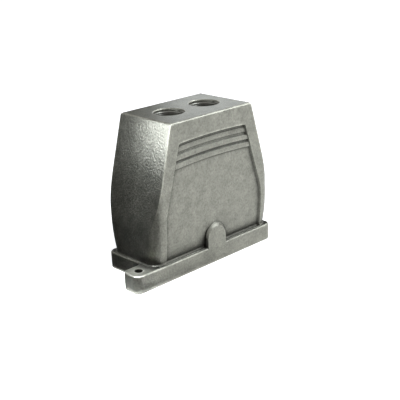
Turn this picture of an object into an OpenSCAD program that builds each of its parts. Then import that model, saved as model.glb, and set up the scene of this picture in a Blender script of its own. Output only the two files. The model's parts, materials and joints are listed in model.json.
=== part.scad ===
// Heavy duty rectangular connector half: a die-cast hood with two top cable
// entries, open below, that carries a pin insert for 24 contacts and earth.
// The mating face lies on z = 0, the long axis runs along X, and +Z is up.
// Turned half a turn about Z, the hood is the same again.

/* [Hood body] */
// Height from the mating face to the crown
hood_h = 126; // [112:1:140]
// Length of the flat crown
crown_l = 88; // [84:1:94]
// Width of the flat crown
crown_w = 59; // [57:0.5:60]
// Body length at the shoulder, its longest level
shoulder_l = 131.6; // [130:0.2:132]
// Body width at the shoulder
shoulder_w = 60.4; // [60:0.1:61]
// Slope of the ends above the shoulder, from upright
end_slope = 15.1; // [14:0.1:16]
// Level of the shoulder
shoulder_z = 45; // [42:1:50]
// How far each end draws in from the shoulder to the flange
waist_end = 1.1; // [0.8:0.1:1.5]
// How far each long side draws in from the shoulder to the flange
waist_side = 3; // [2:0.1:3.2]
// Radius of the upright corners
corner_r = 10; // [8:0.5:12]
// Wall thickness of the casting
wall = 4; // [3:0.1:4.5]
// Thickness of the crown
crown_t = 12; // [9:0.5:14]
// Rounding of the crown's edges
crown_edge_r = 2; // [1:0.1:2.5]

/* [Flange and tabs] */
// Flange length, without the tabs
flange_l = 134; // [133:0.5:138]
// Flange width
flange_w = 60.2; // [60:0.1:64]
// Flange height
flange_h = 14.5; // [14:0.5:16]
// Radius of the flange's corners
flange_r = 6; // [3:0.5:6]
// Rounding of the flange's upper edge
flange_edge_r = 1.6; // [1:0.1:1.8]
// How far each tab stands out from the flange's end
tab_l = 19.5; // [17:0.5:22]
// Tab width
tab_w = 19.5; // [17:0.5:21]
// Fillet between a tab and the flange's end
tab_fillet_r = 3; // [1:0.5:4]
// Clearance hole for an M6 screw in each tab
tab_hole_d = 6.6; // [6.4:0.1:7]

/* [Cable entries] */
// Diameter of each M25 entry
entry_d = 25; // [20:0.5:25]
// Distance between the two entries
entry_pitch = 38.6; // [36:0.2:42]
// Chamfer at the mouth of an entry
entry_chamfer = 0.6; // [0.3:0.1:1]

/* [Side panels] */
// Depth of the recessed panel
panel_depth = 1.8; // [1:0.1:2]
// How far the panel's sloped rim runs in
panel_rim = 1.5; // [0.5:0.1:2]
// Top of the panel at its middle
panel_top_z = 110.3; // [108:0.1:112]
// Half length of the panel at its upper corners
panel_top_half = 36.5; // [34:0.1:38]
// Half length of the panel at its knee
panel_knee_half = 54.2; // [52:0.1:55]
// Level of the panel's knee
panel_knee_z = 51.3; // [48:0.1:56]
// Number of louvre bars
louvre_n = 3; // [2:1:3]
// Spacing of the louvre bars
louvre_pitch = 6.4; // [6:0.1:6.6]
// Radius of the louvres' arch, to the panel's top edge
louvre_r = 575; // [450:5:700]
// Width of the boss at the foot of each panel
boss_w = 21.6; // [18:0.2:23]
// Top of the boss
boss_top_z = 34; // [30:0.5:36]

/* [Insert] */
// Distance between the insert's fixing screws, along the connector
fix_x = 104; // [104]
// Distance between the insert's fixing screws, across the connector
fix_y = 27; // [27]
// Contacts in each row
row_n = 12; // [6:1:12]
// Spacing of the contacts along a row
pin_pitch = 7; // [6.5:0.1:7]
// Distance between the two rows
row_gap = 14; // [13:0.5:15]
// Diameter of a contact pin
pin_d = 2.5; // [2.5]

/* [Hidden] */
// Base width of the mating opening's pocket, with room for a 111 x 34 insert
pocket_l = 113;
pocket_w = 36;
pocket_r = 3;
chamber_z = 12;        // where the pocket widens into the wiring chamber
seal_w = 4;            // width and depth of the seal's groove
seal_depth = 3;
seal_gap = 2.4;        // land between the pocket and the groove
post_d = 9;            // posts for the insert's fixing screws
post_h = 22;
rib_t = 4;
screw_d = 4;           // M4 fixing and earth screws
screw_clear_d = 4.5;
plate_l = 111;         // the insert's frame plate
plate_w = 34;
plate_t = 3;
plate_r = 2;
block_l = 85;          // the insert's contact block
block_w = 27;
block_top = 44;
shroud_t = 1.6;        // wall round the pins
shroud_z = 1.5;        // gap from the mating face to the shroud's rim
shroud_l = 90;
shroud_w = 30;
shroud_r = 2.5;
pin_tip_z = 2.2;
pin_tip = 0.6;         // chamfer of a pin's tip
barrel_d = 4.6;        // the contact's wire barrel
barrel_z = 14;
barrel_top = 38;
wire_d = 3;
wire_bore = 6;         // how far a wire goes in past its screw
clamp_z = 31;          // level of the terminal screws
clamp_d = 3;
clamp_hole_d = 4.6;
clamp_seat = 0.6;      // from the contact's axis to the screw's tip
clamp_l = 2.6;
clamp_head_d = 4;
clamp_head_h = 1.8;
slot_w = 0.6;
pe_x = 43;             // inner end of the earth plates
pe_l = 11.5;
pe_w = 16;
pe_t = 1.5;
pe_seat = 8;           // square seat for the wire
pe_seat_h = 5;
pe_screw_x = 47;
arc_n = 12;            // steps of a rounded corner in plan
edge_n = 4;            // steps of a rounded edge
knee_r = 80;           // soft knee in the ends
flange_foot = 0.6;     // chamfer round the mating face
foot_rise = 2;         // fillets where the body meets the flange
foot_side = 2.2;
foot_end = 1.2;
tab_root = 14;         // how far a tab's slab runs into the flange
boss_bevel = 1.9;      // bevel round the boss's face: how far back,
boss_side = 0.8;       // in from the sides
boss_drop = 3;         // and down from the arch
panel_knee_r = 45;     // rounding of the panel's knees
panel_corner_r = 2;    // rounding of the panel's upper corners
panel_step = 3;        // height of the panel's steps
louvre_first = 1.5;    // from the panel's top edge to the first groove
panel_straight_z = 66; // where the panel's sides are straight from, upwards
groove_depth = 2;
louvre_root = 4;       // how deep the bars' roots go into the wall
first_sunk = 0.6;      // how much deeper the first bar lies, under the panel's top edge
rib_x = 10;            // reach of the ribs that hold each post
rib_y = 14;
post_bore = 14;        // depth of the tapped holes in the posts
past = 5;              // how far a cut runs past the metal
far = 200;             // longer than anything that a cut has to pass

end_run = tan(end_slope);
side_lean = atan((shoulder_w - crown_w) / 2 / (hood_h - shoulder_z));
plate_z = chamber_z - plate_t;
louvre_end = louvre_first + louvre_n * louvre_pitch;
panel_corner_z = panel_top_z - pow(panel_top_half, 2) / (2 * louvre_r) - panel_corner_r;

PINS = [for (i = [1:2 * row_n]) str("pin_", i < 10 ? "0" : "", i)];

// ---------- shared geometry ----------

function unit(v) = v / norm(v);

// Points of the arc that rounds the corner b between a and c
function blend(a, b, c, r, n = 5) =
    let (u = unit(a - b), v = unit(c - b), half = acos(u * v) / 2,
        o = b + unit(u + v) * r / sin(half),
        s = b + u * r / tan(half) - o, e = b + v * r / tan(half) - o,
        from = atan2(s.y, s.x), turn = atan2(e.y, e.x) - from,
        sweep = turn > 180 ? turn - 360 : turn < -180 ? turn + 360 : turn)
    [for (i = [0:n]) o + r * [cos(from + sweep * i / n), sin(from + sweep * i / n)]];

// An outline from its right half, given from the bottom up
function both_sides(p) = concat(p, [for (i = [len(p) - 1:-1:0]) [-p[i].x, p[i].y]]);

// Share of the waist that is drawn in at level z: the walls curve in to the flange
function drawn(z) = z > shoulder_z ? 0 : pow((shoulder_z - z) / (shoulder_z - flange_h), 2);

// Half the body's width at level z
function half_w(z) = z > shoulder_z
    ? crown_w / 2 + (shoulder_w - crown_w) / 2 * (hood_h - z) / (hood_h - shoulder_z)
    : shoulder_w / 2 - waist_side * drawn(z);

// Half the body's length at level z, before its sloped ends are cut
function half_l(z) = shoulder_l / 2 - waist_end * drawn(z);

// One ring of a rounded rectangle at level z
function ring(z, l, w, r) = [for (q = [0:3]) for (i = [0:arc_n])
    let (a = 90 * (q + i / arc_n), cx = (q == 0 || q == 3) ? 1 : -1, cy = q < 2 ? 1 : -1)
    [cx * (l / 2 - r) + r * cos(a), cy * (w / 2 - r) + r * sin(a), z]];

// Skins a stack of rings with as many points each, from the bottom up
module loft(rings) {
    m = len(rings[0]);
    last = len(rings) - 1;
    polyhedron(
        points = [for (r = rings) each r],
        faces = concat(
            [[for (i = [0:m - 1]) i]],
            [[for (i = [m - 1:-1:0]) last * m + i]],
            [for (k = [0:last - 1]) for (i = [0:m - 1])
                [k * m + i, (k + 1) * m + i, (k + 1) * m + (i + 1) % m, k * m + (i + 1) % m]]),
        convexity = 4);
}

// The body's stack of sections, drawn in by inset on every side
module body_stack(inset) {
    steps = 5;
    levels = concat([chamber_z],
        [for (i = [0:steps]) flange_h + (shoulder_z - flange_h) * i / steps], [hood_h]);
    loft([for (z = levels)
        ring(z, 2 * (half_l(z) - inset), 2 * (half_w(z) - inset), corner_r - inset)]);
}

// A plate with rounded corners, a quarter-round upper edge and a chamfered foot
module rounded_slab(l, w) {
    loft(concat(
        [ring(0, l - 2 * flange_foot, w - 2 * flange_foot, flange_r - flange_foot),
         ring(flange_foot, l, w, flange_r)],
        [for (e = edge_points(0))
            ring(e.y, l - 2 * e.x, w - 2 * e.x, flange_r - e.x)]));
}

// The flange's rounded upper edge: how far in it has come, from start, at each level
function edge_points(start) = [for (i = [0:edge_n]) let (a = 90 * i / edge_n)
    [start + flange_edge_r * (1 - cos(a)), flange_h - flange_edge_r * (1 - sin(a))]];

module rounded_rect(l, w, r) {
    square([l - 2 * r, w], center = true);
    square([l, w - 2 * r], center = true);
    for (x = [-1, 1], y = [-1, 1])
        translate([x * (l / 2 - r), y * (w / 2 - r)]) circle(r, $fn = 48);
}

// Prism of an outline in the XZ plane, centred on y = 0
module along_y(depth) {
    rotate([90, 0, 0]) linear_extrude(depth, center = true) children();
}

// Prism of an outline in the YZ plane, centred on x = 0
module along_x(length) {
    rotate([90, 0, 90]) linear_extrude(length, center = true) children();
}

// Puts its children on both halves of the hood, which repeats after half a turn
module half_turn() {
    for (a = [0, 180]) rotate([0, 0, a]) children();
}

module at_fixings() {
    for (x = [-1, 1], y = [-1, 1]) translate([x * fix_x / 2, y * fix_y / 2, 0]) children();
}

// ---------- hood ----------

// Side view of the body: sloped ends over a soft knee, and rounded crown edges
module end_profile(inset) {
    out = shoulder_l / 2 + 0.3;
    top = hood_h - (inset > 0 ? crown_t : 0);
    foot = [out - inset, 0];
    knee = [out - inset, hood_h - (out - crown_l / 2) / end_run];
    crown = [crown_l / 2 + end_run * (hood_h - top) - inset, top];
    polygon(both_sides(concat(
        [foot], blend(foot, knee, crown, knee_r, arc_n),
        blend(knee, crown, [0, top], crown_edge_r))));
}

// End view of the body: only the crown's long edges are rounded by it
module crown_profile() {
    edge = [crown_w / 2, hood_h];
    foot = [crown_w / 2 + 3, 0];
    polygon(both_sides(concat([foot], blend(foot, edge, [0, hood_h], crown_edge_r))));
}

module body_outer() {
    intersection() {
        body_stack(0);
        along_y(far) end_profile(0);
        along_x(far) crown_profile();
    }
}

// Fillet where the body meets the flange, broader on the long sides
module foot_fillet() {
    loft(concat(
        [ring(flange_h - 1, 2 * (half_l(flange_h) + foot_end), 2 * (half_w(flange_h) + foot_side),
            corner_r + foot_end)],
        [for (i = [0:edge_n])
            let (a = 90 * i / edge_n, z = flange_h + foot_rise * (1 - cos(a)), d = 1 - sin(a))
            ring(z, 2 * (half_l(z) + foot_end * d), 2 * (half_w(z) + foot_side * d),
                corner_r + foot_end * d)]));
}

// Where a tab's inner side meets the flange's end, as seen from above
tab_corner = [-flange_l / 2, tab_w - flange_w / 2];

// Fills that corner with a radius, and carries the rounded upper edge round it
module tab_fillet() {
    r = tab_fillet_r;
    difference() {
        translate([tab_corner.x - r, tab_corner.y - flange_edge_r, 0])
            cube([r + flange_edge_r, r + flange_edge_r, flange_h]);
        translate([tab_corner.x - r, tab_corner.y + r, 0]) rotate_extrude($fn = 96)
            polygon(concat([[0, -1], [r + flange_foot, -1], [r + flange_foot, 0], [r, flange_foot]],
                edge_points(r), [[r + flange_edge_r, flange_h + 1], [0, flange_h + 1]]));
    }
}

module flange_outer() {
    rounded_slab(flange_l, flange_w);
    half_turn() {
        translate([-(flange_l + tab_l - tab_root) / 2, -(flange_w - tab_w) / 2, 0])
            rounded_slab(tab_l + tab_root, tab_w);
        tab_fillet();
    }
}

// Arch-topped boss in front of the panel, flush with the flange and bevelled round its face
module boss() {
    r = boss_w / 2;
    face_r = r - boss_side;
    foot = flange_h / 2;
    depth = flange_w / 2 - half_w(flange_h) + wall / 2;
    difference() {
        translate([0, -flange_w / 2, 0]) rotate([-90, 0, 0]) hull() {
            for (z = [foot, boss_top_z - r]) translate([0, -z, boss_bevel])
                cylinder(h = depth - boss_bevel, r = r, $fn = 48);
            for (z = [foot, boss_top_z - boss_drop - face_r]) translate([0, -z, 0])
                cylinder(h = boss_bevel, r = face_r, $fn = 48);
        }
        translate([0, 0, foot - far / 2]) cube(far, center = true);
    }
}

// Half the panel's length at level z, from its knee, its straight sides and its top corners
panel_sides = let (low = [panel_knee_half, flange_h], knee = [panel_knee_half, panel_knee_z],
        top = [panel_top_half, panel_top_z])
    [for (p = concat([low], blend(low, knee, top, panel_knee_r, 6), [top])) [p.y, p.x]];
function panel_corner(z) = let (up = max(z - panel_corner_z, 0))
    panel_corner_r - sqrt(max(pow(panel_corner_r, 2) - up * up, 0));
function panel_half(z) = lookup(z, panel_sides) - panel_corner(z);

// The room over the panel at level z: a trapezoid, because its rim slopes in
function panel_ring(z, depth, clear = 1) = let (x = panel_half(z), slope = panel_rim / panel_depth,
        out = -half_w(z) - clear)
    [[-x - clear * slope, out, z], [x + clear * slope, out, z],
     [x - depth * slope, depth - half_w(z), z], [depth * slope - x, depth - half_w(z), z]];

// Depth of the panel's floor at level z, with the fillet at its foot
function floor_depth(z) = let (up = (z - flange_h) / foot_rise)
    panel_depth - (up < 1 ? foot_side * (1 - sqrt(1 - pow(1 - up, 2))) : 0);

// Radial section of the louvres: rounded bars with a narrow groove above each, under the
// panel's arched top edge. A point is given by how far it is down from that edge, and how
// deep it is in the wall.
function louvre_point(down, depth) = [louvre_r - down, -depth];

module louvre_section() {
    bar = [[0.3, louvre_root], [0.3, groove_depth], [1.3, 0.8], [2.8, 0.55], [5, 0.7],
        [5.8, groove_depth], [5.8, louvre_root]];
    for (i = [0:louvre_n - 1])
        polygon([for (b = bar) louvre_point(louvre_first + i * louvre_pitch + b.x,
            min(b.y + (i == 0 ? first_sunk : 0), louvre_root))]);
    polygon([louvre_point(0, -past), louvre_point(0.3, groove_depth), louvre_point(0.3, louvre_root),
        louvre_point(-past, louvre_root), louvre_point(-past, -past)]);
}

// The louvres' arch lies in the plane of the wall, which leans in
module louvres() {
    translate([0, -half_w(panel_top_z), panel_top_z]) rotate([90 - side_lean, 0, 0])
        translate([0, -louvre_r, 0]) rotate_extrude(angle = 12, start = 84, $fn = 360)
            louvre_section();
}

module panel_cut() {
    difference() {
        loft([for (z = concat(
                [for (i = [0:edge_n]) flange_h + foot_rise * (1 - cos(90 * i / edge_n))],
                [for (z = [flange_h + foot_rise + panel_step:panel_step:panel_straight_z]) z],
                [for (i = [0:edge_n]) panel_corner_z + panel_corner_r * i / edge_n],
                [panel_top_z + 1]))
            panel_ring(z, floor_depth(z))]);
        louvres();
    }
}

module wiring_chamber() {
    intersection() {
        body_stack(wall);
        along_y(far) end_profile(wall);
    }
}

// Posts inside the end walls, tapped for the insert's screws
module fixing_posts() {
    intersection() {
        for (x = [-1, 1], y = [-1, 1]) translate([x * fix_x / 2, y * fix_y / 2, chamber_z]) {
            cylinder(h = post_h, d = post_d, $fn = 48);
            translate([x > 0 ? 0 : -rib_x, -rib_t / 2, 0]) cube([rib_x, rib_t, post_h]);
            translate([-rib_t / 2, y > 0 ? 0 : -rib_y, 0]) cube([rib_t, rib_y, post_h]);
        }
        body_stack(wall / 2);
    }
}

// An entry's bore, down from the crown, with a chamfered mouth
module entry_bore() {
    translate([0, 0, -crown_t - past])
        cylinder(h = crown_t + 2 * past, d = entry_d, $fn = 96);
    translate([0, 0, -entry_chamfer])
        cylinder(h = 2 * entry_chamfer, d1 = entry_d, d2 = entry_d + 4 * entry_chamfer, $fn = 96);
}

module hood() color("#8e8f86") {
    difference() {
        union() {
            difference() {
                union() {
                    body_outer();
                    foot_fillet();
                    flange_outer();
                }
                half_turn() panel_cut();
            }
            half_turn() boss();
        }
        wiring_chamber();
        translate([0, 0, -1]) linear_extrude(chamber_z + 2)
            rounded_rect(pocket_l, pocket_w, pocket_r);
        for (x = [-1, 1]) translate([x * entry_pitch / 2, 0, hood_h]) entry_bore();
        half_turn() translate([-(flange_l + tab_l) / 2, -(flange_w - tab_w) / 2, -1])
            cylinder(h = flange_h + 2, d = tab_hole_d, $fn = 64);
        translate([0, 0, -1]) seal_ring(seal_depth + 1);
    }
    difference() {
        fixing_posts();
        at_fixings() translate([0, 0, chamber_z - 1])
            cylinder(h = post_bore + 1, d = screw_d, $fn = 48);
    }
}

// ---------- seal ----------

module seal_ring(h) {
    inner_l = pocket_l + 2 * seal_gap;
    inner_w = pocket_w + 2 * seal_gap;
    linear_extrude(h) difference() {
        rounded_rect(inner_l + 2 * seal_w, inner_w + 2 * seal_w, pocket_r + seal_gap + seal_w);
        rounded_rect(inner_l, inner_w, pocket_r + seal_gap);
    }
}

module mating_seal() color("#2b2b2b") seal_ring(seal_depth);

// ---------- insert ----------

// Where contact i stands, counted along one row and then the other
function pin_at(i) = [((i - 1) % row_n - (row_n - 1) / 2) * pin_pitch,
    (i <= row_n ? -1 : 1) * row_gap / 2, 0];

function pin_side(i) = i <= row_n ? -1 : 1;

module insert_body() color("#c9c8c0") difference() {
    union() {
        translate([0, 0, plate_z]) linear_extrude(plate_t) rounded_rect(plate_l, plate_w, plate_r);
        translate([0, 0, plate_z]) linear_extrude(block_top - plate_z)
            rounded_rect(block_l, block_w, 1);
        translate([0, 0, shroud_z]) linear_extrude(plate_z - shroud_z + 1) difference() {
            rounded_rect(shroud_l, shroud_w, shroud_r);
            rounded_rect(shroud_l - 2 * shroud_t, shroud_w - 2 * shroud_t, shroud_r - shroud_t);
        }
    }
    at_fixings() translate([0, 0, plate_z - 1]) cylinder(h = plate_t + 2, d = screw_clear_d, $fn = 48);
    for (i = [1:2 * row_n]) translate(pin_at(i)) {
        translate([0, 0, plate_z - 1]) cylinder(h = barrel_z - plate_z + 1, d = pin_d, $fn = 32);
        translate([0, 0, barrel_z]) cylinder(h = barrel_top - barrel_z, d = barrel_d, $fn = 32);
        translate([0, 0, barrel_top - 1]) cylinder(h = block_top, d = wire_d + 0.8, $fn = 32);
        translate([0, 0, clamp_z]) rotate([pin_side(i) * -90, 0, 0])
            cylinder(h = block_w, d = clamp_hole_d, $fn = 32);
    }
}

// A turned contact: pin below, wire barrel with its clamping screw's thread above
module contact(i) color("#c7ccd0") translate(pin_at(i)) difference() {
    union() {
        translate([0, 0, pin_tip_z + pin_tip])
            cylinder(h = barrel_z - pin_tip_z - pin_tip, d = pin_d, $fn = 32);
        translate([0, 0, pin_tip_z])
            cylinder(h = pin_tip, d1 = pin_d - 2 * pin_tip, d2 = pin_d, $fn = 32);
        translate([0, 0, barrel_z]) cylinder(h = barrel_top - barrel_z, d = barrel_d, $fn = 32);
    }
    translate([0, 0, clamp_z - wire_bore]) cylinder(h = far, d = wire_d, $fn = 32);
    translate([0, 0, clamp_z]) rotate([pin_side(i) * -90, 0, 0])
        cylinder(h = barrel_d, d = clamp_d, $fn = 32);
}

// M3 clamping screws, one to each contact, reached from the insert's long sides
module terminal_screws() color("#d5d2c4") for (i = [1:2 * row_n])
    translate(pin_at(i) + [0, 0, clamp_z]) rotate([pin_side(i) * -90, 0, 0]) {
        translate([0, 0, clamp_seat]) cylinder(h = clamp_l, d = clamp_d, $fn = 32);
        translate([0, 0, clamp_seat + clamp_l]) difference() {
            cylinder(h = clamp_head_h, d = clamp_head_d, $fn = 32);
            translate([-far / 2, -slot_w / 2, clamp_head_h / 2]) cube([far, slot_w, clamp_head_h]);
        }
    }

// Earth plate on the insert's frame, with a wire lug's seat between the posts
module pe_plate() color("#b9bcc0") difference() {
    union() {
        translate([pe_x, -pe_w / 2, chamber_z]) cube([pe_l, pe_w, pe_t]);
        translate([pe_x, -pe_seat / 2, chamber_z]) cube([pe_seat, pe_seat, pe_seat_h]);
    }
    translate([pe_screw_x, 0, chamber_z]) cylinder(h = pe_seat_h + 1, d = screw_d, $fn = 48);
}

module pe_plate_left() rotate([0, 0, 180]) pe_plate();

module pe_plate_right() pe_plate();

// A pan head screw that points up from its slotted head
module slotted_screw(length, head_d = 7, head_h = 2.6, slot = 1) {
    cylinder(h = length, d = screw_d, $fn = 48);
    translate([0, 0, -head_h]) difference() {
        cylinder(h = head_h, d = head_d, $fn = 48);
        translate([-far / 2, -slot / 2, -slot]) cube([far, slot, 2.2 * slot]);
    }
}

// Earth terminals: screws pressed down on the wire from the wiring side
module pe_screws() color("#c9c6b8") half_turn()
    translate([pe_screw_x, 0, chamber_z + pe_seat_h + 2]) rotate([180, 0, 0]) slotted_screw(7, 7.6);

// M4 screws that hold the insert against the hood's posts
module insert_screws() color("#b7b9bb") at_fixings() translate([0, 0, plate_z]) slotted_screw(14);

hood();
mating_seal();
insert_body();
for (i = [1:2 * row_n]) contact(i);
terminal_screws();
pe_plate_left();
pe_plate_right();
pe_screws();
insert_screws();
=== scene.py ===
import json
import math

import bmesh
import bpy
from mathutils import Matrix, Vector


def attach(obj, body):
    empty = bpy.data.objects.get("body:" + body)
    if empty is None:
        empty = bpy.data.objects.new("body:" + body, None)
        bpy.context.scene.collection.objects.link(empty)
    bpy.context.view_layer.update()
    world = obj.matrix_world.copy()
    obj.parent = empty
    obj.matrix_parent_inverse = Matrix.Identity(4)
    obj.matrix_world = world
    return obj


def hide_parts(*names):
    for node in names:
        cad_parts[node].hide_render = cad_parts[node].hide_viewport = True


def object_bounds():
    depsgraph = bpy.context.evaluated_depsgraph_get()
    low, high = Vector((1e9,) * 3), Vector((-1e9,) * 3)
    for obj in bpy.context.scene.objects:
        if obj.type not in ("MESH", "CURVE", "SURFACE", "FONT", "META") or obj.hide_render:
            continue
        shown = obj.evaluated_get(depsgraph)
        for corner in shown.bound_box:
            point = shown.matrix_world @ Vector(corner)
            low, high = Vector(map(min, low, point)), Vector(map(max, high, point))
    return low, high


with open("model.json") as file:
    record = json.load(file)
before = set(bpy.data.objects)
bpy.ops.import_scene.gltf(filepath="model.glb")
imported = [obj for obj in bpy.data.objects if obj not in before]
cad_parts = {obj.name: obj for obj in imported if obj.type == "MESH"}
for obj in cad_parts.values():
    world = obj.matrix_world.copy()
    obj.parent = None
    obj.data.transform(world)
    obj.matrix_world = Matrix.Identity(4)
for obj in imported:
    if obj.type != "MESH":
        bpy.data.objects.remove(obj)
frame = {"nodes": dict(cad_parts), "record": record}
cad_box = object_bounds()
MM = 0.001


# ---------------------------------------------------------------- hood
# One pressure die casting in aluminium: body, crown, louvred side panels, flange and
# tabs. It is shot-blasted after casting, which leaves a dull grain of small dents, and
# every edge keeps the small radius of the die.

MIX_A, MIX_B, MIX_RESULT = 6, 7, 2   # the colour sockets of a Mix node

die_radius = 0.45 * MM
weld_gap = 0.002 * MM
flat_angle = math.radians(0.5)
corner_angle = math.radians(22)
crease_angle = math.radians(40)


def scene_object(bm, name):
    """Turns a finished bmesh into an object of the scene."""
    mesh = bpy.data.meshes.new(name)
    bm.to_mesh(mesh)
    bm.free()
    made = bpy.data.objects.new(name, mesh)
    bpy.context.scene.collection.objects.link(made)
    return made


# The CAD hood's triangles are merged into faces, and its corners get the die's radius.
bm = bmesh.new()
bm.from_mesh(frame["nodes"]["hood"].data)
bmesh.ops.remove_doubles(bm, verts=bm.verts, dist=weld_gap)
bmesh.ops.dissolve_limit(bm, angle_limit=flat_angle, verts=bm.verts, edges=bm.edges)
corners = [e for e in bm.edges if len(e.link_faces) == 2 and e.calc_face_angle() > corner_angle]
bmesh.ops.bevel(bm, geom=corners, offset=die_radius, segments=2, affect="EDGES",
                profile=0.5, material=-1, clamp_overlap=True)
for face in bm.faces:
    face.smooth = True
for edge in bm.edges:
    edge.smooth = len(edge.link_faces) == 2 and edge.calc_face_angle() < crease_angle
hood = scene_object(bm, "hood_casting")
hood.modifiers.new("even_shading", "WEIGHTED_NORMAL").keep_sharp = True
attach(hood, "root")
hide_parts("hood")


def linear(hex_code):
    """An sRGB hex colour as linear RGBA."""
    channels = [int(hex_code[i:i + 2], 16) / 255 for i in (1, 3, 5)]
    return [c / 12.92 if c <= 0.04045 else ((c + 0.055) / 1.055) ** 2.4 for c in channels] + [1.0]


def node(material, kind, settings=None, links=None, **attributes):
    """Adds a node: socket values, links from (node, output) to a socket, and its own attributes."""
    made = material.node_tree.nodes.new(kind)
    for key, value in attributes.items():
        setattr(made, key, value)
    for socket, value in (settings or {}).items():
        made.inputs[socket].default_value = value
    for socket, (source, output) in (links or {}).items():
        material.node_tree.links.new(source.outputs[output], made.inputs[socket])
    return made


def new_material(name, **settings):
    """A material whose Principled shader has the given socket values, with its object coordinates."""
    material = bpy.data.materials.new(name)
    material.use_nodes = True
    shader = material.node_tree.nodes["Principled BSDF"]
    for socket, value in settings.items():
        shader.inputs[socket.replace("_", " ")].default_value = value
    return material, shader, node(material, "ShaderNodeTexCoord")


# Shot-blasted cast aluminium: dull grey, faintly olive, with a grain that glints. The shot
# leaves dents of about 0.5 mm, drawn 1.6 mm wide here, as coarse as they need to show.
# Its colour is darkened in grooves and recesses as painted shade, and lightened near the edges as a painted
# highlight.
grain = 1.6 * MM
mottle = 9 * MM
dent_depth = 0.38 * MM
# How far the painted shade in recesses reaches, and how far the painted highlight on edges reaches.
painted_shade_reach = 10 * MM
painted_highlight_reach = 2 * MM

cast, shader, coords = new_material("shot_blasted_cast_aluminium", Metallic=1.0)
fine = node(cast, "ShaderNodeTexNoise", {"Scale": 1 / grain, "Detail": 3.0, "Roughness": 0.6},
            {"Vector": (coords, "Object")})
broad = node(cast, "ShaderNodeTexNoise", {"Scale": 1 / mottle, "Detail": 2.0, "Roughness": 0.5},
             {"Vector": (coords, "Object")})
speckle = node(cast, "ShaderNodeMix", {MIX_A: linear("#51514a"), MIX_B: linear("#99998f")},
               {"Factor": (fine, "Fac")}, data_type="RGBA")
tone = node(cast, "ShaderNodeMapRange", {"From Min": 0.3, "From Max": 0.7, "To Min": 0.84, "To Max": 1.1},
            {"Value": (broad, "Fac")})
# Painted shade: the colour darkens where the casting's own walls close in, in grooves and recesses.
groove = node(cast, "ShaderNodeAmbientOcclusion", {"Distance": painted_shade_reach}, only_local=True)
painted_recess_shade = node(cast, "ShaderNodeMapRange",
                 {"From Min": 0.78, "From Max": 1.0, "To Min": 0.3, "To Max": 1.0},
                 {"Value": (groove, "AO")})
# Painted highlight: the colour is lightened up to 1.9 times within a few millimetres of convex edges.
arris = node(cast, "ShaderNodeAmbientOcclusion", {"Distance": painted_highlight_reach}, inside=True, only_local=True)
painted_edge_highlight = node(cast, "ShaderNodeMapRange", {"From Min": 0.4, "From Max": 0.95, "To Min": 1.9, "To Max": 1.0},
              {"Value": (arris, "AO")})
# The random tone of the mottle, times the painted shade in recesses and the painted highlight on edges.
mottle_and_painted_light = node(cast, "ShaderNodeMath", {}, {0: (tone, "Result"), 1: (painted_recess_shade, "Result")},
            operation="MULTIPLY")
mottle_and_painted_light = node(cast, "ShaderNodeMath", {}, {0: (mottle_and_painted_light, "Value"), 1: (painted_edge_highlight, "Result")}, operation="MULTIPLY")
shade = node(cast, "ShaderNodeVectorMath", {}, {0: (speckle, MIX_RESULT), 1: (mottle_and_painted_light, "Value")},
             operation="MULTIPLY")
gloss = node(cast, "ShaderNodeMapRange", {"From Min": 0.3, "From Max": 0.7, "To Min": 0.35, "To Max": 0.48},
             {"Value": (fine, "Fac")})
dents = node(cast, "ShaderNodeBump", {"Strength": 1.0, "Distance": dent_depth}, {"Height": (fine, "Fac")})
cast.node_tree.links.new(shade.outputs["Vector"], shader.inputs["Base Color"])
cast.node_tree.links.new(gloss.outputs["Result"], shader.inputs["Roughness"])
cast.node_tree.links.new(dents.outputs["Normal"], shader.inputs["Normal"])
hood.data.materials.append(cast)


# ---------------------------------------------------------------- entry threads
# The M25 x 1.5 threads that the two cable glands screw into. They are cut into the
# casting after blasting, so their flanks are smoother than the skin, and even in tone.

pitch = 1.5 * MM
thread_depth = 0.75 * MM
crest_start = 0.45 * pitch
crest_end = 0.55 * pitch
steps_per_turn = 48

# Machined aluminium with the faint patches that the cutting oil leaves. Its grey is darker than bare cut
# metal: painted shade inside the bore.
oil_patch = 2 * MM
cut_metal, shader, coords = new_material("machined_aluminium", Metallic=1.0, Roughness=0.32)
marks = node(cut_metal, "ShaderNodeTexNoise", {"Scale": 1 / oil_patch, "Detail": 2.0},
             {"Vector": (coords, "Object")})
oil_patches_and_painted_shade = node(cut_metal, "ShaderNodeMix", {MIX_A: linear("#62625d"), MIX_B: linear("#7c7c76")},
             {"Factor": (marks, "Fac")}, data_type="RGBA")
cut_metal.node_tree.links.new(oil_patches_and_painted_shade.outputs[MIX_RESULT], shader.inputs["Base Color"])

for mount in frame["record"]["mounts"]:
    if mount["kind"] != "threaded_hole":
        continue
    radius = mount["dims"]["r_mm"] * MM
    length = mount["dims"]["length_mm"] * MM
    foot = Vector(mount["pos_m"]) - Vector((0, 0, length / 2))
    turns = int(length / pitch) - 1
    bm = bmesh.new()
    profile = [bm.verts.new(foot + Vector(point)) for point in (
        (radius, 0, 0),
        (radius - thread_depth, 0, crest_start),
        (radius - thread_depth, 0, crest_end),
        (radius, 0, pitch))]
    section = bm.faces.new(profile)
    bmesh.ops.spin(bm, geom=[section], cent=foot, axis=(0, 0, 1), dvec=(0, 0, pitch / steps_per_turn),
                   angle=2 * math.pi * turns, steps=steps_per_turn * turns, use_duplicate=False)
    bmesh.ops.remove_doubles(bm, verts=bm.verts, dist=0.001 * MM)
    bmesh.ops.recalc_face_normals(bm, faces=bm.faces)
    thread = scene_object(bm, mount["name"] + "_thread")
    thread.data.materials.append(cut_metal)
    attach(thread, "root")


# ---------------------------------------------------------------- mating seal
# A moulded rubber ring in the groove of the flange's lower face. It is matt black, with
# a faint bloom of talc.

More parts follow.
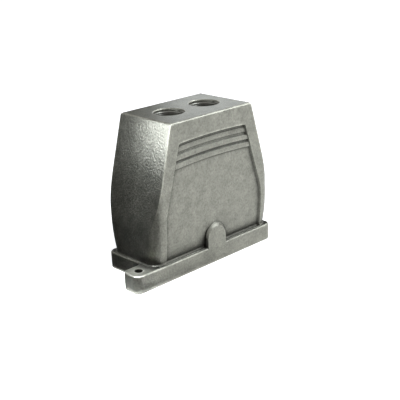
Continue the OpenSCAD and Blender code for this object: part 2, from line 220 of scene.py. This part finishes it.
bloom_patch = 4 * MM
rubber, shader, coords = new_material("moulded_rubber", Roughness=0.75)
bloom = node(rubber, "ShaderNodeTexNoise", {"Scale": 1 / bloom_patch, "Detail": 3.0},
             {"Vector": (coords, "Object")})
talc = node(rubber, "ShaderNodeMix", {MIX_A: linear("#1c1c1c"), MIX_B: linear("#2c2c2c")},
            {"Factor": (bloom, "Fac")}, data_type="RGBA")
rubber.node_tree.links.new(talc.outputs[MIX_RESULT], shader.inputs["Base Color"])


def dress(node_name, material):
    """Gives a CAD node one material."""
    data = frame["nodes"][node_name].data
    data.materials.clear()
    data.materials.append(material)


dress("mating_seal", rubber)


# ---------------------------------------------------------------- insert body
# The contact carrier, moulded in glass-filled polycarbonate, pale grey with a fine
# spark-eroded skin. Four screws hold its frame against the hood's posts.

# The eroded skin is finer than 0.1 mm. It is drawn 0.5 mm coarse, so that it shows.
erosion_grain = 0.5 * MM
erosion_depth = 0.03 * MM
plastic, shader, coords = new_material("glass_filled_polycarbonate", Roughness=0.5)
erosion = node(plastic, "ShaderNodeTexNoise", {"Scale": 1 / erosion_grain, "Detail": 2.0},
               {"Vector": (coords, "Object")})
fibre = node(plastic, "ShaderNodeMix", {MIX_A: linear("#c2c1b8"), MIX_B: linear("#cfcec6")},
             {"Factor": (erosion, "Fac")}, data_type="RGBA")
texture = node(plastic, "ShaderNodeBump", {"Strength": 0.2, "Distance": erosion_depth},
               {"Height": (erosion, "Fac")})
plastic.node_tree.links.new(fibre.outputs[MIX_RESULT], shader.inputs["Base Color"])
plastic.node_tree.links.new(texture.outputs["Normal"], shader.inputs["Normal"])
dress("insert_body", plastic)


# ---------------------------------------------------------------- contacts
# Turned brass pins with a silver plate, one to a chamber. Silver is near white and
# glossy, with faint rings left by the lathe.

# The lathe's rings are finer than 0.2 mm. They are drawn broader, so that they show.
ring_width = 2 * MM
silver, shader, coords = new_material("silver_plated_brass", Metallic=1.0, Roughness=0.25)
rings = node(silver, "ShaderNodeTexWave", {"Scale": 1 / ring_width, "Distortion": 1.0},
             {"Vector": (coords, "Object")}, bands_direction="Z")
plate = node(silver, "ShaderNodeMix", {MIX_A: linear("#c9c9c6"), MIX_B: linear("#dededb")},
             {"Factor": (rings, "Fac")}, data_type="RGBA")
silver.node_tree.links.new(plate.outputs[MIX_RESULT], shader.inputs["Base Color"])
for name in frame["nodes"]:
    if name.startswith("pin_"):
        dress(name, silver)


# ---------------------------------------------------------------- screws and earth plates
# Zinc-plated steel: the terminal, earth and fixing screws are turned and slotted, and
# the earth plates are stamped. The plate is silvery with a slight warm cloud.

cloud_patch = 3 * MM
zinc, shader, coords = new_material("zinc_plated_steel", Metallic=1.0, Roughness=0.35)
cloud = node(zinc, "ShaderNodeTexNoise", {"Scale": 1 / cloud_patch, "Detail": 3.0},
             {"Vector": (coords, "Object")})
passivation = node(zinc, "ShaderNodeMix", {MIX_A: linear("#a9a79c"), MIX_B: linear("#c6c5bf")},
                   {"Factor": (cloud, "Fac")}, data_type="RGBA")
zinc.node_tree.links.new(passivation.outputs[MIX_RESULT], shader.inputs["Base Color"])
for name in ("terminal_screws", "pe_plate_left", "pe_plate_right", "pe_screws", "insert_screws"):
    dress(name, zinc)


# ---------------------------------------------------------------- floor and world
# A pale studio floor that runs out into a white surround. Both are white to the camera,
# to gloss and to glass, and a plain level of light to everything else.

floor_half_side = 6.0
floor_lift = 0.6
plain_level = 0.45
white = (1, 1, 1, 1)


def looked_at(holder):
    """1 where the camera, a gloss or a glass looks, and 0 for the light that falls on things."""
    path = node(holder, "ShaderNodeLightPath")
    seen = node(holder, "ShaderNodeMath", {}, {0: (path, "Is Camera Ray"), 1: (path, "Is Glossy Ray")},
                operation="ADD")
    return node(holder, "ShaderNodeMath", {}, {0: (seen, "Value"), 1: (path, "Is Transmission Ray")},
                operation="ADD", use_clamp=True)


bm = bmesh.new()
bmesh.ops.create_grid(bm, x_segments=1, y_segments=1, size=floor_half_side)
floor = scene_object(bm, "floor")
paper, shader, coords = new_material("white_paper", Roughness=0.9)
lift = node(paper, "ShaderNodeMath", {1: floor_lift}, {0: (looked_at(paper), "Value")}, operation="MULTIPLY")
shader.inputs["Base Color"].default_value = linear("#f4f4f4")
shader.inputs["Emission Color"].default_value = white
paper.node_tree.links.new(lift.outputs["Value"], shader.inputs["Emission Strength"])
floor.data.materials.append(paper)

world = bpy.data.worlds.new("surround")
world.use_nodes = True
level = node(world, "ShaderNodeMapRange", {"To Min": plain_level, "To Max": 1.0},
             {"Value": (looked_at(world), "Value")})
backdrop = world.node_tree.nodes["Background"]
backdrop.inputs["Color"].default_value = white
world.node_tree.links.new(level.outputs["Result"], backdrop.inputs["Strength"])
bpy.context.scene.world = world


# ---------------------------------------------------------------- lamps
# A small soft box close to the sloped end lights its upper part. A large one at the right
# draws the front edges, one behind brightens the crown, and a narrow one stands over the tab.

aim = (cad_box[0] + cad_box[1]) / 2
cool_white = (0.91, 0.95, 1.0)


def turn_to(thing, place, target):
    """Puts a lamp or a card at a place, turned to face a target."""
    thing.location = place
    thing.rotation_euler = (Vector(target) - Vector(place)).to_track_quat("-Z", "Y").to_euler()


def soft_box(name, place, side, power, target, spread=180):
    """A square lamp: its side in metres, its power in watts and its spread in degrees."""
    lamp = bpy.data.objects.new(name, bpy.data.lights.new(name, "AREA"))
    lamp.data.size = side
    lamp.data.energy = power
    lamp.data.color = cool_white
    lamp.data.spread = math.radians(spread)
    lamp.visible_camera = False
    turn_to(lamp, place, target)
    bpy.context.scene.collection.objects.link(lamp)


soft_box("near_end", (-0.104, 0.011, 0.134), 0.04, 0.078, (-0.047, -0.03, 0.117))
soft_box("front_edges", (0.66, -0.60, 0.86), 0.72, 15.5, aim)
soft_box("crown_light", (0.115, 0.08, 0.19), 0.11, 0.062, (-0.01, -0.02, 0.126))
soft_box("tab_light", (-0.088, -0.008, 0.120), 0.03, 0.036, (-0.082, -0.014, 0.0), spread=40)


# ---------------------------------------------------------------- dark cards
# Black cards on the left of the floor, behind the left of the object and behind the crown.
# Only gloss sees them: the lower end, the flange's end and the crown mirror them, and go
# dark. Their edges thin out, so that no hard line shows in the metal.

fibre_patch = 20 * MM
black, shader, coords = new_material("black_card", Roughness=1.0)
fibres = node(black, "ShaderNodeTexNoise", {"Scale": 1 / fibre_patch}, {"Vector": (coords, "Object")})
dim = node(black, "ShaderNodeMapRange", {"To Min": 0.02, "To Max": 0.04}, {"Value": (fibres, "Fac")})
reach = node(black, "ShaderNodeVectorMath", {}, {0: (coords, "Object")}, operation="ABSOLUTE")
sides = node(black, "ShaderNodeSeparateXYZ", {}, {"Vector": (reach, "Vector")})
outward = node(black, "ShaderNodeMath", {}, {0: (sides, "X"), 1: (sides, "Y")}, operation="MAXIMUM")
fade = node(black, "ShaderNodeMapRange", {"From Min": 0.85, "From Max": 1.0, "To Min": 1.0, "To Max": 0.0},
            {"Value": (outward, "Value")})
shader.inputs["Base Color"].default_value = linear("#101010")
shader.inputs["Emission Color"].default_value = white
black.node_tree.links.new(dim.outputs["Result"], shader.inputs["Emission Strength"])
black.node_tree.links.new(fade.outputs["Result"], shader.inputs["Alpha"])


def card(name, place, half_side, target):
    """A square black card that faces a target."""
    bm = bmesh.new()
    bmesh.ops.create_grid(bm, x_segments=1, y_segments=1, size=1)
    made = scene_object(bm, name)
    turn_to(made, place, target)
    made.scale = (half_side, half_side, 1)
    made.data.materials.append(black)
    made.visible_camera = False
    made.visible_diffuse = False
    made.visible_transmission = False
    made.visible_shadow = False


card("wall_card", (-0.50, 0.47, -0.50), 0.9, (0, 0, -0.50))
card("floor_card", (-0.34, 0.31, 0.002), 0.36, (-0.34, 0.31, 1))
card("front_card", (-0.359, -0.31, 0.003), 0.31, (-0.359, -0.31, 1))
card("back_card", (0.50, 0.56, 0.30), 0.34, (0, 0, 0.1))


# ---------------------------------------------------------------- camera
# It looks down a little on the corner between a long side and an end, from two thirds
# of a metre, and leans slightly.

azimuth = math.radians(-43.51)
elevation = math.radians(19.84)
lean = math.radians(-2.26)
distance = 678 * MM
off_right = 7.8 * MM
off_up = -15.7 * MM
sensor_width = 36
focal_length = 73.57
far_limit = 50

back = Vector((math.sin(azimuth) * math.cos(elevation), -math.cos(azimuth) * math.cos(elevation),
               math.sin(elevation)))
right = Vector((math.cos(azimuth), math.sin(azimuth), 0))
up = back.cross(right)
place = aim + back * distance + right * off_right + up * off_up
leant_right = right * math.cos(lean) + up * math.sin(lean)
leant_up = back.cross(leant_right)
camera = bpy.data.objects.new("camera", bpy.data.cameras.new("camera"))
camera.data.sensor_width = sensor_width
camera.data.lens = focal_length
camera.data.clip_end = far_limit
camera.matrix_world = Matrix((
    (leant_right.x, leant_up.x, back.x, place.x),
    (leant_right.y, leant_up.y, back.y, place.y),
    (leant_right.z, leant_up.z, back.z, place.z),
    (0, 0, 0, 1)))
bpy.context.scene.collection.objects.link(camera)
bpy.context.scene.camera = camera
bpy.context.scene.view_settings.view_transform = "Standard"
